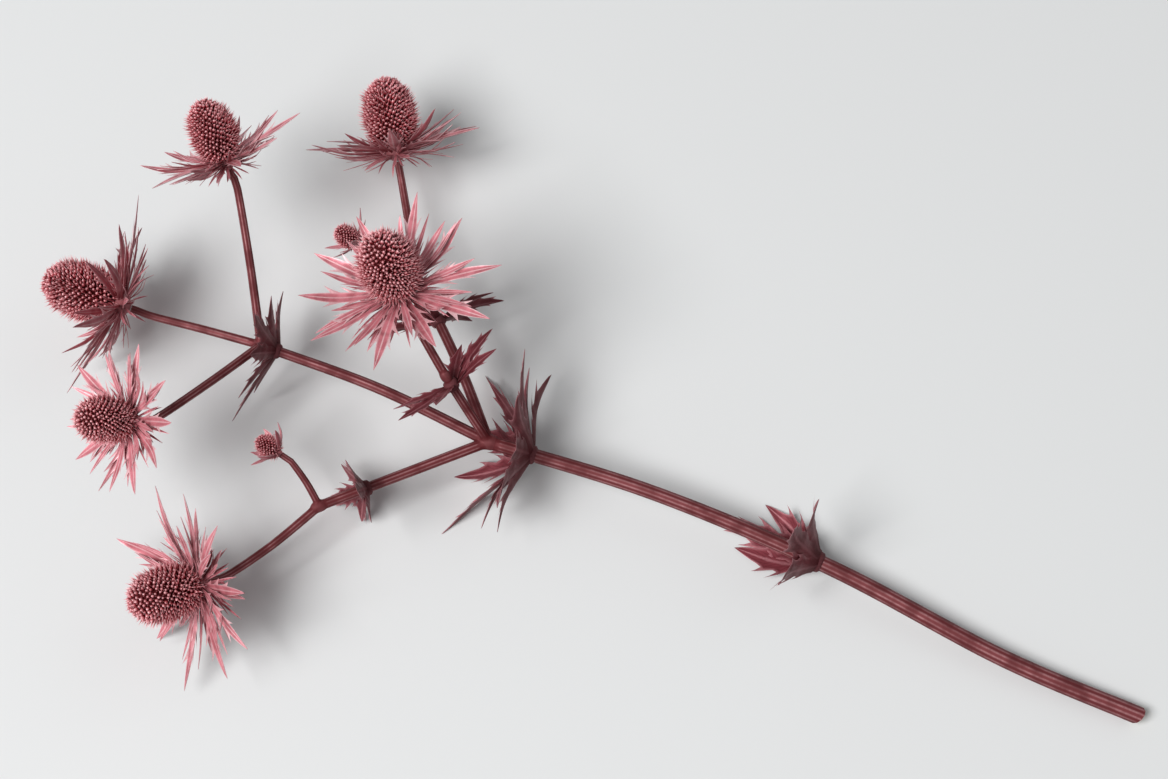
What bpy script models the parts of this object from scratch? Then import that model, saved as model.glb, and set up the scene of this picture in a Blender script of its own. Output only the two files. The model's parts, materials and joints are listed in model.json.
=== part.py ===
"""A cut stem of sea holly with six flower heads, lying on a flat surface. Metres, +Z up.

The stem grows towards -X. Its cut end and the bracts that point down touch the surface, z = 0.
"""

import math
import random
from dataclasses import dataclass

import bmesh
import bpy
from mathutils import Matrix, Vector

MM = 0.001

# Brings the middle of the footprint to the origin.
FOOTPRINT_SHIFT = Vector((-49.3 * MM, -0.4 * MM, 0))

# Gap between two pieces that touch.
SEAT_GAP = 0.3 * MM

# Stem
STALK_BUTT_RADIUS = 4.1 * MM
STALK_FORK_RADIUS = 3.1 * MM
BRANCH_RADIUS = 2.3 * MM
NECK_RADIUS = 1.75 * MM
KNOT_SWELL = 1.35
CUT_SLANT_DEG = 32
STEM_STEP = 14 * MM
NECK_STRAIGHT = 2.5 * MM

# Flower head
CONE_LENGTH = 35 * MM
CONE_RADIUS = 11.6 * MM
CONE_SEAT_RADIUS = 6.6 * MM
FLORET_HEIGHT = 2.6 * MM
FLORET_COLUMNS = 15
FLORET_ROWS = 13
CUP_RADIUS = 7.0 * MM
CUP_DEPTH = 7.0 * MM

# Bracts and leaves
BLADE_THICKNESS = 0.85 * MM
BLADE_FOLD = 0.22
BLADE_STEPS = 40
BLADE_BEND_START = 0.25
BLADE_BEND_SPAN = 0.6

# Where they meet the surface: they bend below the first height, lie flat below the second,
# and swing forward where they would pass further below the surface than the third.
FLOOR_BEND = 3.5 * MM
FLAT_BELOW = 2.0 * MM
FLOOR_PRESS = 3.0 * MM
SWING_STEP_DEG = 3
ROOT_SWING = 0.4

# The sheath by which leaves clasp the stem
SHEATH_LENGTH = 5 * MM
SHEATH_WALL = 1.1 * MM
SHEATH_GAP = 0.35 * MM


def at(x, y, z):
    """A point given in millimetres from the floor below the main fork."""
    return Vector((x, y, z)) * MM + FOOTPRINT_SHIFT


@dataclass(frozen=True)
class Head:
    """A flower head: its seat on the neck, the way it faces, its scale and its random seed."""

    name: str
    seat: tuple
    facing: tuple
    size: float
    seed: int


@dataclass(frozen=True)
class Rank:
    """One ring of bracts in a ruff, or of lobes in a whorl. Lengths in metres, angles in degrees."""

    count: int
    length: float
    width: float
    tooth: float
    teeth: int
    root_depth: float
    root_rise: tuple
    tip_rise: tuple


@dataclass(frozen=True)
class Whorl:
    """A ring of leaves just below a fork: which branch it clasps, how far along, and its leaves."""

    name: str
    branch: str
    place: float
    azimuths: tuple
    length: float
    width: float
    rise: float
    seed: int


HEADS = (
    Head("1", (-182, 0, 40), (-0.97, -0.06, 0.22), 1.0, 11),
    Head("2", (-92, 120, 36), (-0.45, 0.74, 0.48), 0.95, 42),
    Head("3", (-96, -112, 37), (-0.56, -0.66, 0.50), 0.95, 13),
    Head("4", (-50, 28, 98), (-0.30, 0.16, 0.94), 1.0, 14),
    Head("5", (-150, 66, 86), (-0.55, 0.52, 0.65), 0.8, 15),
    Head("6", (-142, -64, 82), (-0.52, -0.46, 0.72), 0.76, 16),
)
BUDS = (
    Head("left", (-88, 62, 50), (-0.75, 0.05, 0.55), 0.36, 21),
    Head("right", (-84, -44, 46), (-0.80, 0.10, 0.45), 0.34, 22),
)

FORK = (0, 0, 25)
CENTRE_KNOT = (-112, 4, 38)
LEFT_KNOT = (-60, 64, 29)
RIGHT_KNOT = (-60, -56, 28)
UPPER_KNOT = (-24, 12, 56)

# Each branch: the points that its middle runs through, in millimetres, and its end radii.
BRANCHES = {
    "stalk": (
        ((318, -16, 3.8), (250, -12, 7), (165, 0, 13), (80, 4, 20), FORK),
        STALK_BUTT_RADIUS,
        STALK_FORK_RADIUS,
    ),
    "centre": ((FORK, (-55, 4, 34), CENTRE_KNOT), BRANCH_RADIUS * 1.15, BRANCH_RADIUS),
    "left": ((FORK, (-26, 30, 27), LEFT_KNOT), BRANCH_RADIUS * 1.1, BRANCH_RADIUS),
    "right": ((FORK, (-28, -26, 26), RIGHT_KNOT), BRANCH_RADIUS * 1.1, BRANCH_RADIUS),
    "upper": ((FORK, (-11, 5, 41), UPPER_KNOT), BRANCH_RADIUS, BRANCH_RADIUS * 0.9),
}
NECKS = {
    "1": (CENTRE_KNOT, (-140, 3, 36)),
    "2": (LEFT_KNOT, (-72, 86, 27)),
    "3": (RIGHT_KNOT, (-73, -80, 27)),
    "4": (UPPER_KNOT, (-36, 20, 68)),
    "5": (CENTRE_KNOT, (-126, 31, 58)),
    "6": (CENTRE_KNOT, (-122, -27, 56)),
    "left": (LEFT_KNOT, (-71, 63, 38)),
    "right": (RIGHT_KNOT, (-68, -50, 36)),
}

RUFF = (
    Rank(10, 44 * MM, 2.6 * MM, 5.4 * MM, 2, 1.6 * MM, (4, 12), (-4, 34)),
    Rank(8, 29 * MM, 1.6 * MM, 3.5 * MM, 1, 3.4 * MM, (-8, 2), (-14, 26)),
)
BUD_RUFF = (Rank(6, 40 * MM, 2.6 * MM, 4.9 * MM, 1, 2.0 * MM, (20, 30), (30, 62)),)
LOBE_SPREAD_DEG = 31
LOBE_SIDE_LENGTH = 0.74

WHORLS = (
    Whorl("stalk", "stalk", 0.50, (80, 255), 56 * MM, 5.2 * MM, 34, 31),
    Whorl("fork", "stalk", 0.965, (40, 140, 215, 325), 52 * MM, 5.0 * MM, 20, 32),
    Whorl("centre", "centre", 0.93, (90, 210, 330), 34 * MM, 3.6 * MM, 16, 33),
    Whorl("left", "left", 0.90, (40, 200), 33 * MM, 3.6 * MM, 14, 34),
    Whorl("right", "right", 0.90, (70, 250), 33 * MM, 3.6 * MM, 14, 35),
    Whorl("upper", "upper", 0.80, (20, 190), 30 * MM, 3.4 * MM, 16, 36),
)

# Blade outlines by teeth a side: place of the midrib, place of the edge, half width, all as
# shares, and whether it is a tooth. A tooth's half width is a share of the tooth size, and
# the others are of the blade's width.
OUTLINES = {
    2: (
        (0.00, 0.00, 0.55, False),
        (0.33, 0.35, 0.86, False),
        (0.39, 0.50, 1.00, True),
        (0.45, 0.44, 0.94, False),
        (0.58, 0.70, 0.94, True),
        (0.66, 0.64, 0.90, False),
    ),
    1: (
        (0.00, 0.00, 0.66, False),
        (0.42, 0.44, 0.96, False),
        (0.50, 0.62, 1.00, True),
        (0.57, 0.55, 0.94, False),
    ),
}


def clear_scene():
    """Removes the startup objects."""
    for obj in list(bpy.data.objects):
        bpy.data.objects.remove(obj)


def paint(name, colour, roughness, metallic):
    """A dyed finish with a slight metallic sheen."""
    material = bpy.data.materials.new(name)
    material.use_nodes = True
    shader = material.node_tree.nodes["Principled BSDF"]
    shader.inputs["Base Color"].default_value = (*colour, 1)
    shader.inputs["Roughness"].default_value = roughness
    shader.inputs["Metallic"].default_value = metallic
    return material


def add_object(name, bm, collection, material=None):
    """Makes an object from a bmesh, which is freed."""
    bmesh.ops.recalc_face_normals(bm, faces=bm.faces)
    mesh = bpy.data.meshes.new(name)
    bm.to_mesh(mesh)
    bm.free()
    if material:
        mesh.materials.append(material)
    obj = bpy.data.objects.new(name, mesh)
    collection.objects.link(obj)
    return obj


def bake(obj):
    """Applies an object's modifiers."""
    graph = bpy.context.evaluated_depsgraph_get()
    mesh = bpy.data.meshes.new_from_object(obj.evaluated_get(graph))
    obj.modifiers.clear()
    obj.data = mesh


def fuse(obj, repeats):
    """Joins the objects of a collection to obj with one Boolean, then removes them."""
    join = obj.modifiers.new("fuse", "BOOLEAN")
    join.operation = "UNION"
    join.operand_type = "COLLECTION"
    join.collection = repeats
    join.solver = "MANIFOLD"
    bake(obj)
    for piece in list(repeats.objects):
        bpy.data.objects.remove(piece)
    bpy.data.collections.remove(repeats)


def repeats_collection(name):
    """A collection for pieces that are about to be fused."""
    collection = bpy.data.collections.new(name)
    bpy.context.scene.collection.children.link(collection)
    return collection


def smooth_line(points, step=STEM_STEP):
    """Points close together on a smooth curve through the given ones."""
    ends = [2 * points[0] - points[1], *points, 2 * points[-1] - points[-2]]
    line = []
    for before, start, end, after in zip(ends, ends[1:], ends[2:], ends[3:]):
        count = max(1, round((end - start).length / step))
        for i in range(count):
            t = i / count
            line.append(
                0.5
                * (
                    2 * start
                    + (end - before) * t
                    + (2 * before - 5 * start + 4 * end - after) * t**2
                    + (3 * start - before - 3 * end + after) * t**3
                )
            )
    line.append(points[-1])
    return line


def tube(name, line, start_radius, end_radius, collection):
    """A round stem along a line, tapering evenly, as a closed mesh."""
    curve = bpy.data.curves.new(name, "CURVE")
    curve.dimensions = "3D"
    curve.bevel_depth = 1
    curve.bevel_resolution = 2
    curve.use_fill_caps = True
    spline = curve.splines.new("POLY")
    spline.points.add(len(line) - 1)
    for i, point in enumerate(line):
        share = i / (len(line) - 1)
        spline.points[i].co = (*point, 1)
        spline.points[i].radius = start_radius + (end_radius - start_radius) * share
    guide = bpy.data.objects.new(name, curve)
    collection.objects.link(guide)
    graph = bpy.context.evaluated_depsgraph_get()
    mesh = bpy.data.meshes.new_from_object(guide.evaluated_get(graph))
    bpy.data.objects.remove(guide)
    bm = bmesh.new()
    bm.from_mesh(mesh)
    bmesh.ops.remove_doubles(bm, verts=bm.verts, dist=0.01 * MM)
    return add_object(name, bm, collection)


def facing_frame(seat, facing):
    """A matrix that puts the origin at seat and turns +Z to facing."""
    turn = Vector(facing).to_track_quat("Z", "Y").to_matrix().to_4x4()
    return Matrix.Translation(seat) @ turn


def off_floor(point):
    """Bends what would pass below the surface, so that it lies along it."""
    if point.z >= FLOOR_BEND:
        return point
    return Vector((point.x, point.y, FLOOR_BEND * math.exp(point.z / FLOOR_BEND - 1)))


def rise_at(t, rises):
    """A blade's angle above the plane it grows from: an even bend from its root's to its tip's."""
    bend = min(1, max(0, (t - BLADE_BEND_START) / BLADE_BEND_SPAN))
    return rises[0] + (rises[1] - rises[0]) * bend * bend * (3 - 2 * bend)


def blade_points(azimuth, root, rises, length):
    """Points along the middle of a blade, in the frame that it grows from."""
    outward = Vector((math.cos(azimuth), math.sin(azimuth), 0))
    up = Vector((0, 0, 1))
    points = [outward * root[0] + up * root[1]]
    for i in range(BLADE_STEPS):
        angle = rise_at((i + 0.5) / BLADE_STEPS, rises)
        step = outward * math.cos(angle) + up * math.sin(angle)
        points.append(points[-1] + step * length / BLADE_STEPS)
    return points


def swing_clear(place, azimuth, root, rises, length):
    """Swings a blade forward until its tip no longer passes far below the surface."""
    swung = rises
    for turn in range(0, 90, SWING_STEP_DEG):
        extra = math.radians(turn)
        swung = (rises[0] + ROOT_SWING * extra, rises[1] + extra)
        tip = place @ blade_points(azimuth, root, swung, length)[-1]
        if tip.z > -FLOOR_PRESS:
            break
    return swung


def blade_line(place, azimuth, root, rises, length, roll):
    """Returns a function that gives point, side and normal at a share of a blade's length."""
    outward = Vector((math.cos(azimuth), math.sin(azimuth), 0))
    across = Vector((-math.sin(azimuth), math.cos(azimuth), 0))
    up = Vector((0, 0, 1))
    swung = swing_clear(place, azimuth, root, rises, length)
    points = blade_points(azimuth, root, swung, length)

    def frame_at(t):
        i = min(BLADE_STEPS - 1, int(t * BLADE_STEPS))
        share = t * BLADE_STEPS - i
        angle = rise_at(t, swung)
        point = points[i].lerp(points[i + 1], share)
        normal = up * math.cos(angle) - outward * math.sin(angle)
        turn = Matrix.Rotation(roll * t, 3, outward * math.cos(angle) + up * math.sin(angle))
        return place @ point, place.to_3x3() @ (turn @ across), place.to_3x3() @ (turn @ normal)

    return frame_at


def blade(name, frame_at, width, tooth, outline, collection, skew=0.0):
    """A thin toothed blade with a folded midrib: its two edges are sharp, and it ends in a spine.

    Both faces are split into triangles alike. What would pass below the surface lies along it.
    """
    rows = []
    for middle, edge, share, is_tooth in outline:
        half = share * (tooth if is_tooth else width)
        edges = []
        for side in (1, -1):
            shift = side * skew if is_tooth or edge > 0 else 0
            point, across, normal = frame_at(edge + shift)
            fold = normal * half * BLADE_FOLD
            edges.append(off_floor(point + across * side * half + fold))
        point, across, normal = frame_at(middle)
        rows.append((edges, off_floor(point), across))
    tip = off_floor(frame_at(1)[0])
    centres = [row[1] for row in rows] + [tip]
    bm = bmesh.new()
    loops = []
    for i, (edges, centre, across) in enumerate(rows):
        along = (centres[i + 1] - centre).normalized()
        normal = along.cross(across).normalized()
        if normal.dot(frame_at(0.5)[2]) < 0:
            normal = -normal
        half = normal * BLADE_THICKNESS / 2
        corners = [edges[0], centre + half, edges[1], centre - half]
        if max(corner.z for corner in corners) < FLAT_BELOW:
            corners = lie_flat(corners)
        loops.append([bm.verts.new(corner) for corner in corners])
    if tip.z < FLAT_BELOW:
        tip.z = 0
    point = bm.verts.new(tip)
    for lower, upper in zip(loops, loops[1:]):
        for k in range(4):
            edge_first = k % 2 == 0
            a, b = (k, (k + 1) % 4) if edge_first else ((k + 1) % 4, k)
            bm.faces.new((lower[b], lower[a], upper[a]))
            bm.faces.new((lower[b], upper[a], upper[b]))
    for k in range(4):
        bm.faces.new((loops[-1][k], loops[-1][(k + 1) % 4], point))
    bm.faces.new(loops[0])
    return add_object(name, bm, collection)


def lie_flat(corners):
    """Puts a pressed blade's edges and underside on the surface, with its top above them."""
    lowest = 1 if corners[1].z < corners[3].z else 3
    flat = [Vector((c.x, c.y, 0)) for c in corners]
    highest = 4 - lowest
    flat[highest].z = BLADE_THICKNESS
    return flat


def ruff_blades(place, ranks, size, seed, collection):
    """The bracts of one head, ring by ring, with seeded variation."""
    draw = random.Random(seed)
    for ring, rank in enumerate(ranks):
        turn = draw.uniform(0, math.tau)
        for k in range(rank.count):
            azimuth = turn + math.tau * (k + draw.uniform(-0.16, 0.16)) / rank.count
            length = rank.length * size * draw.uniform(0.86, 1.08)
            rises = [math.radians(draw.uniform(*span)) for span in (rank.root_rise, rank.tip_rise)]
            roll = draw.uniform(-0.45, 0.45)
            skew = draw.uniform(-0.035, 0.035)
            root = (CUP_RADIUS * size * 0.66, -rank.root_depth * size)
            line = blade_line(place, azimuth, root, rises, length, roll)
            blade(
                f"blade_{ring}_{k}",
                line,
                rank.width * size**0.5,
                rank.tooth * size**0.5,
                OUTLINES[rank.teeth],
                collection,
                skew,
            )


def cup(name, place, size, neck_radius, collection, steps=10):
    """The receptacle that carries the cone and the bracts, turned about the head's axis."""
    profile = (
        (CUP_RADIUS * size, 0),
        (CUP_RADIUS * size * 1.02, -0.28 * CUP_DEPTH * size),
        (CUP_RADIUS * size * 0.86, -0.62 * CUP_DEPTH * size),
        (neck_radius + 0.14 * CUP_RADIUS * size, -0.9 * CUP_DEPTH * size),
        (neck_radius + 0.1 * MM, -CUP_DEPTH * size),
    )
    bm = bmesh.new()
    verts = [bm.verts.new((radius, 0, height)) for radius, height in profile]
    edges = [bm.edges.new(pair) for pair in zip(verts, verts[1:])]
    bmesh.ops.spin(
        bm,
        geom=verts + edges,
        axis=(0, 0, 1),
        cent=(0, 0, 0),
        angle=math.tau,
        steps=steps,
        use_merge=True,
    )
    bmesh.ops.holes_fill(bm, edges=[e for e in bm.edges if e.is_boundary])
    bmesh.ops.transform(bm, matrix=place, verts=bm.verts)
    return add_object(name, bm, collection)


def cone_profile(share):
    """Radius and height of the cone at a share of the way from its tip to its seat, for size 1."""
    angle = share * math.pi
    height = CONE_LENGTH * (0.5 + 0.5 * math.cos(angle * 0.94 + 0.06 * math.pi * share))
    bulge = math.sin(math.pi * share**1.10) ** 0.80 if 0 < share < 1 else 0
    seat = CONE_SEAT_RADIUS * max(0, (share - 0.55) / 0.45) ** 1.4
    return max(CONE_RADIUS * bulge, seat), height


def floret_cone(name, place, size, collection, material, columns, rows):
    """The cone: a spiral lattice of pointed florets raised from an egg-shaped body on a flat seat."""
    bm = bmesh.new()
    bmesh.ops.create_uvsphere(bm, u_segments=columns, v_segments=rows, radius=1)
    share_of = {v: math.acos(max(-1, min(1, v.co.z))) / math.pi for v in bm.verts}
    for vert, share in share_of.items():
        row = round(share * rows)
        turn = math.atan2(vert.co.y, vert.co.x) + row * math.pi / columns
        radius, height = cone_profile(share)
        if row == rows:
            radius, height = 0, 0
        vert.co = Vector((radius * math.cos(turn), radius * math.sin(turn), height)) * size
    seat = [f for f in bm.faces if all(share_of[v] > 1 - 1.5 / rows for v in f.verts)]
    florets = [f for f in bm.faces if f not in seat]
    bm.normal_update()
    raised = bmesh.ops.poke(bm, faces=florets, offset=0)["verts"]
    bm.normal_update()
    for vert in raised:
        outward = Vector((vert.co.x, vert.co.y, 0)).normalized()
        near_tip = vert.co.z / (CONE_LENGTH * size)
        slope = Vector((0, 0, 0.35 + 1.1 * near_tip**2))
        reach = min(1, 0.35 + math.hypot(vert.co.x, vert.co.y) / (0.7 * CONE_RADIUS * size))
        vert.co += (outward + slope).normalized() * FLORET_HEIGHT * reach * size
    bmesh.ops.translate(bm, vec=(0, 0, SEAT_GAP), verts=bm.verts)
    bmesh.ops.triangulate(bm, faces=bm.faces)
    bmesh.ops.transform(bm, matrix=place, verts=bm.verts)
    return add_object(name, bm, collection, material)


def build_head(head, collection, materials):
    """A flower cone on its cup, with its ruff of bracts."""
    place = facing_frame(at(*head.seat), head.facing)
    columns = FLORET_COLUMNS if head.size > 0.9 else FLORET_COLUMNS - 3
    rows = FLORET_ROWS if head.size > 0.9 else FLORET_ROWS - 2
    floret_cone(
        f"flower_cone_{head.name}", place, head.size, collection, materials["cone"], columns, rows
    )
    ruff = cup(f"bract_ruff_{head.name}", place, head.size, NECK_RADIUS, collection)
    ruff.data.materials.append(materials["bract"])
    blades = repeats_collection(f"bracts_{head.name}")
    ruff_blades(place, RUFF, head.size, head.seed, blades)
    fuse(ruff, blades)


def build_bud(bud, collection, materials):
    """An undeveloped side head, still closed: one piece, since its parts haven't opened."""
    place = facing_frame(at(*bud.seat), bud.facing)
    body = cup(f"side_bud_{bud.name}", place, bud.size, NECK_RADIUS * 0.8, collection, steps=8)
    body.data.materials.append(materials["bract"])
    parts = repeats_collection(f"bud_parts_{bud.name}")
    sunk = place @ Matrix.Translation((0, 0, -1.2 * MM))
    floret_cone("bud_cone", sunk, bud.size, parts, None, 8, 7)
    ruff_blades(place, BUD_RUFF, bud.size, bud.seed, parts)
    fuse(body, parts)


def branch_line(name):
    """The smooth middle line of a branch."""
    points, _, _ = BRANCHES[name]
    return smooth_line([at(*p) for p in points])


def neck_line(head):
    """The smooth middle line of a head's neck, which meets the cup squarely."""
    knot, middle = NECKS[head.name]
    facing = Vector(head.facing).normalized()
    seat = at(*head.seat)
    end = seat - facing * (CUP_DEPTH * head.size + SEAT_GAP)
    straight = end - facing * NECK_STRAIGHT
    before = end - facing * (NECK_STRAIGHT + 9 * MM * head.size)
    return smooth_line([at(*knot), at(*middle), before, straight], STEM_STEP) + [end]


def build_stem(collection, material):
    """The stalk, its branches and the necks of the heads, grown together, with a swollen knot at each fork."""
    points, start_radius, end_radius = BRANCHES["stalk"]
    stem = tube("stem", branch_line("stalk"), start_radius, end_radius, collection)
    stem.data.materials.append(material)
    grown = repeats_collection("branches")
    for name, (_, first, last) in BRANCHES.items():
        if name != "stalk":
            tube(name, branch_line(name), first, last, grown)
    for head in HEADS:
        tube(f"neck_{head.name}", neck_line(head), BRANCH_RADIUS * 0.9, NECK_RADIUS, grown)
    for bud in BUDS:
        tube(f"neck_{bud.name}", neck_line(bud), NECK_RADIUS, NECK_RADIUS * 0.8, grown)
    knots = {
        FORK: STALK_FORK_RADIUS,
        CENTRE_KNOT: BRANCH_RADIUS,
        LEFT_KNOT: BRANCH_RADIUS,
        RIGHT_KNOT: BRANCH_RADIUS,
        UPPER_KNOT: BRANCH_RADIUS * 0.9,
    }
    for point, radius in knots.items():
        bm = bmesh.new()
        bmesh.ops.create_uvsphere(bm, u_segments=8, v_segments=6, radius=radius * KNOT_SWELL)
        bmesh.ops.translate(bm, vec=at(*point), verts=bm.verts)
        add_object("knot", bm, grown)
    fuse(stem, grown)
    cut_butt(stem)


def cut_butt(stem):
    """Cuts the stalk's end on a slant, as florist's scissors do."""
    points = branch_line("stalk")
    butt, along = points[0], (points[0] - points[1]).normalized()
    slant = Matrix.Rotation(math.radians(CUT_SLANT_DEG), 3, "Y")
    bm = bmesh.new()
    bm.from_mesh(stem.data)
    cut = bmesh.ops.bisect_plane(
        bm,
        geom=bm.verts[:] + bm.edges[:] + bm.faces[:],
        plane_co=butt - along * 4 * MM,
        plane_no=slant @ along,
        clear_outer=True,
    )
    rim = [e for e in cut["geom_cut"] if isinstance(e, bmesh.types.BMEdge)]
    bmesh.ops.edgenet_fill(bm, edges=rim)
    bmesh.ops.recalc_face_normals(bm, faces=bm.faces)
    bm.to_mesh(stem.data)
    bm.free()


def sheath_frame(whorl):
    """The frame of a whorl's sheath on its branch, +Z the way the stem grows, and the stem's radius there."""
    line = branch_line(whorl.branch)
    _, first, last = BRANCHES[whorl.branch]
    i = round(whorl.place * (len(line) - 2))
    growth = line[i + 1] - line[i]
    middle = (line[i] + line[i + 1]) / 2
    share = (i + 0.5) / (len(line) - 1)
    return facing_frame(middle, growth), first + (last - first) * share


def cylinder(name, place, radius, length, collection, sides=10):
    """A plain round bar along a frame's Z axis, centred on it."""
    bm = bmesh.new()
    bmesh.ops.create_cone(
        bm,
        cap_ends=True,
        segments=sides,
        radius1=radius,
        radius2=radius,
        depth=length,
        matrix=place,
    )
    return add_object(name, bm, collection)


def build_whorl(whorl, collection, material):
    """Leaves with three toothed lobes, grown together in a sheath that clasps the stem."""
    place, stem_radius = sheath_frame(whorl)
    bore = stem_radius + SHEATH_GAP
    sheath = cylinder(
        f"leaf_whorl_{whorl.name}", place, bore + SHEATH_WALL, SHEATH_LENGTH, collection
    )
    sheath.data.materials.append(material)
    lobes = repeats_collection(f"lobes_{whorl.name}")
    draw = random.Random(whorl.seed)
    for leaf, azimuth_deg in enumerate(whorl.azimuths):
        rise = math.radians(whorl.rise + draw.uniform(-7, 7))
        droop = math.radians(draw.uniform(-26, 4))
        reach = whorl.length * draw.uniform(0.9, 1.08)
        for lobe in (-1, 0, 1):
            azimuth = math.radians(azimuth_deg + lobe * LOBE_SPREAD_DEG)
            length = reach * (1 if lobe == 0 else LOBE_SIDE_LENGTH * draw.uniform(0.9, 1.1))
            root = (bore + 0.35 * SHEATH_WALL, lobe * 0.5 * MM)
            roll = draw.uniform(-0.3, 0.3)
            line = blade_line(place, azimuth, root, (rise, rise + droop), length, roll)
            blade(
                f"lobe_{leaf}_{lobe}",
                line,
                whorl.width,
                whorl.width * 1.75,
                OUTLINES[2 if lobe == 0 else 1],
                lobes,
                draw.uniform(-0.03, 0.03),
            )
    fuse(sheath, lobes)
    bore_out(sheath, place, bore)


def bore_out(sheath, place, radius):
    """Opens the sheath for the stem that it clasps."""
    cutters = repeats_collection("cutters")
    drill = cylinder("drill", place, radius, SHEATH_LENGTH * 3, cutters, sides=12)
    drill.hide_render = True
    drill.display_type = "WIRE"
    cut = sheath.modifiers.new("bore", "BOOLEAN")
    cut.operation = "DIFFERENCE"
    cut.solver = "MANIFOLD"
    cut.object = drill
    bake(sheath)
    bpy.data.objects.remove(drill)
    bpy.data.collections.remove(cutters)


def shade(collection):
    """Smooth shading on the round pieces."""
    for obj in collection.objects:
        if obj.name == "stem":
            obj.data.shade_smooth()
            obj.data.set_sharp_from_angle(angle=math.radians(50))


def main():
    """Builds every piece of the stem."""
    clear_scene()
    parts = bpy.data.collections.new("sea_holly_stem")
    bpy.context.scene.collection.children.link(parts)
    materials = {
        "stem": paint("dyed stem", (0.17, 0.055, 0.06), 0.45, 0.25),
        "leaf": paint("dyed leaf", (0.16, 0.035, 0.042), 0.42, 0.3),
        "bract": paint("dyed bract", (0.42, 0.13, 0.16), 0.38, 0.45),
        "cone": paint("dyed florets", (0.25, 0.045, 0.06), 0.42, 0.35),
    }
    build_stem(parts, materials["stem"])
    for head in HEADS:
        build_head(head, parts, materials)
    for bud in BUDS:
        build_bud(bud, parts, materials)
    for whorl in WHORLS:
        build_whorl(whorl, parts, materials["leaf"])
    shade(parts)


main()
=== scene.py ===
"""A cut sea holly stem, dyed a metallic rose, lying on its side on a pale floor.

Six flower heads, two closed side heads and six whorls of spiny leaves stand for the plain solids
of the frame, each where its solid is. Metres, +Z up. The stem grows towards -X.
"""

import json
import logging
import math
import random
from dataclasses import dataclass
from enum import Enum
from functools import lru_cache
from typing import Any, Callable

import bmesh
import bpy
from bmesh.types import BMEdge, BMesh, BMVert
from bpy.types import Collection, Material, Mesh, Node, NodeSocket, NodeTree, Object
from mathutils import Matrix, Vector

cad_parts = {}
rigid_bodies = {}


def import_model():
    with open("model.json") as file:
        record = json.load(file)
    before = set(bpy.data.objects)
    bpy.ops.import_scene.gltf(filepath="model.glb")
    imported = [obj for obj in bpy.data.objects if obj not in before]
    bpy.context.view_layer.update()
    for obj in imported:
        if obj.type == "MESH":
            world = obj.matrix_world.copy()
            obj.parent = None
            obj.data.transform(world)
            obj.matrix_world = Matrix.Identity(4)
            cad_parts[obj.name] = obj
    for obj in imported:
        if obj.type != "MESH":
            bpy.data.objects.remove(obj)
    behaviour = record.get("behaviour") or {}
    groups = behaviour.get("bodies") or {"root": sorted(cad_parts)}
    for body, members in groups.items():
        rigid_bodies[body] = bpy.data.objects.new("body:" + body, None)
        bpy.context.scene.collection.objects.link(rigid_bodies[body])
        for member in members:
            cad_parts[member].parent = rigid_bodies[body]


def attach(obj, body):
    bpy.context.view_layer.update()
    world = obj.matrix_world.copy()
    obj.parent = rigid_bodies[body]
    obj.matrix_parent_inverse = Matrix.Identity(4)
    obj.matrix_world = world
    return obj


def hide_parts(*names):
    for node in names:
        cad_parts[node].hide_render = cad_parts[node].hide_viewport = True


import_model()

LOG = logging.getLogger("sea_holly")
MM = 0.001
BODY = "root"

# Brings the middle of the footprint to the origin.
FOOTPRINT_SHIFT = Vector((-49.3 * MM, -0.4 * MM, 0))

SEAT_GAP = 0.3 * MM
STEM_STEP = 3 * MM
NECK_STRAIGHT = 2.5 * MM
NECK_RADIUS = 1.75 * MM
BRANCH_RADIUS = 2.3 * MM
STALK_FORK_RADIUS = 3.1 * MM
STALK_BUTT_RADIUS = 4.1 * MM

CONE_LENGTH = 35 * MM
CONE_RADIUS = 11.6 * MM
CONE_SEAT_RADIUS = 6.6 * MM
CUP_RADIUS = 7.0 * MM
CUP_DEPTH = 7.0 * MM

BLADE_FOLD = 0.22
BLADE_STEPS = 40
BLADE_BEND_START = 0.25
BLADE_BEND_SPAN = 0.6
BLADE_FULLNESS = 0.96
BLADE_TAPER = 1.9
BLADE_LAST_ROW = 0.98
BLADE_THINNING = 0.55
# How far before and after a tooth's root the blade is fuller.
LOBE_BEFORE = 0.09
LOBE_AFTER = 0.06
FLOOR_BEND = 3.5 * MM
FLOOR_PRESS = 3.0 * MM
SWING_STEP_DEG = 3
ROOT_SWING = 0.4
GOLDEN_ANGLE = math.pi * (3 - math.sqrt(5))
MERGE_DISTANCE = 0.002 * MM
UP = Vector((0, 0, 1))

Pair = tuple[float, float]

# What each vertex says of its place: how far along its blade or floret it is, how far from the
# middle or up a ridge, whether it is on the underside, and its piece's own chance value, which on
# florets also rises towards the cone's tip as painted light from above.
MARKS = ("along", "across", "under", "tone")


class Slot(Enum):
    """The record's material slots."""

    STEM = "stem"
    LEAF = "leaf"
    BRACT = "bract"
    FLORET = "floret"


class Look(Enum):
    """Where a finish's pale colour, a painted sheen and highlight, shows: on ribs and edges, on tips, or
    on ridges.
    """

    RIBBED = "ribbed"
    TIPPED = "tipped"
    RIDGED = "ridged"


def linear(hex_colour: str) -> tuple[float, float, float, float]:
    """Turns an sRGB hex colour to linear red, green, blue and alpha, from 0 to 1."""
    channels = [int(hex_colour[i : i + 2], 16) / 255 for i in (1, 3, 5)]
    turned = [c / 12.92 if c <= 0.04045 else ((c + 0.055) / 1.055) ** 2.4 for c in channels]
    return (*turned, 1.0)


def feed(tree: NodeTree, node: Node, inputs: dict[Any, Any]) -> None:
    """Sets a node's inputs, by name or number, to values or to the sockets that feed them."""
    for key, value in inputs.items():
        if isinstance(value, NodeSocket):
            tree.links.new(value, node.inputs[key])
        else:
            node.inputs[key].default_value = value


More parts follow.
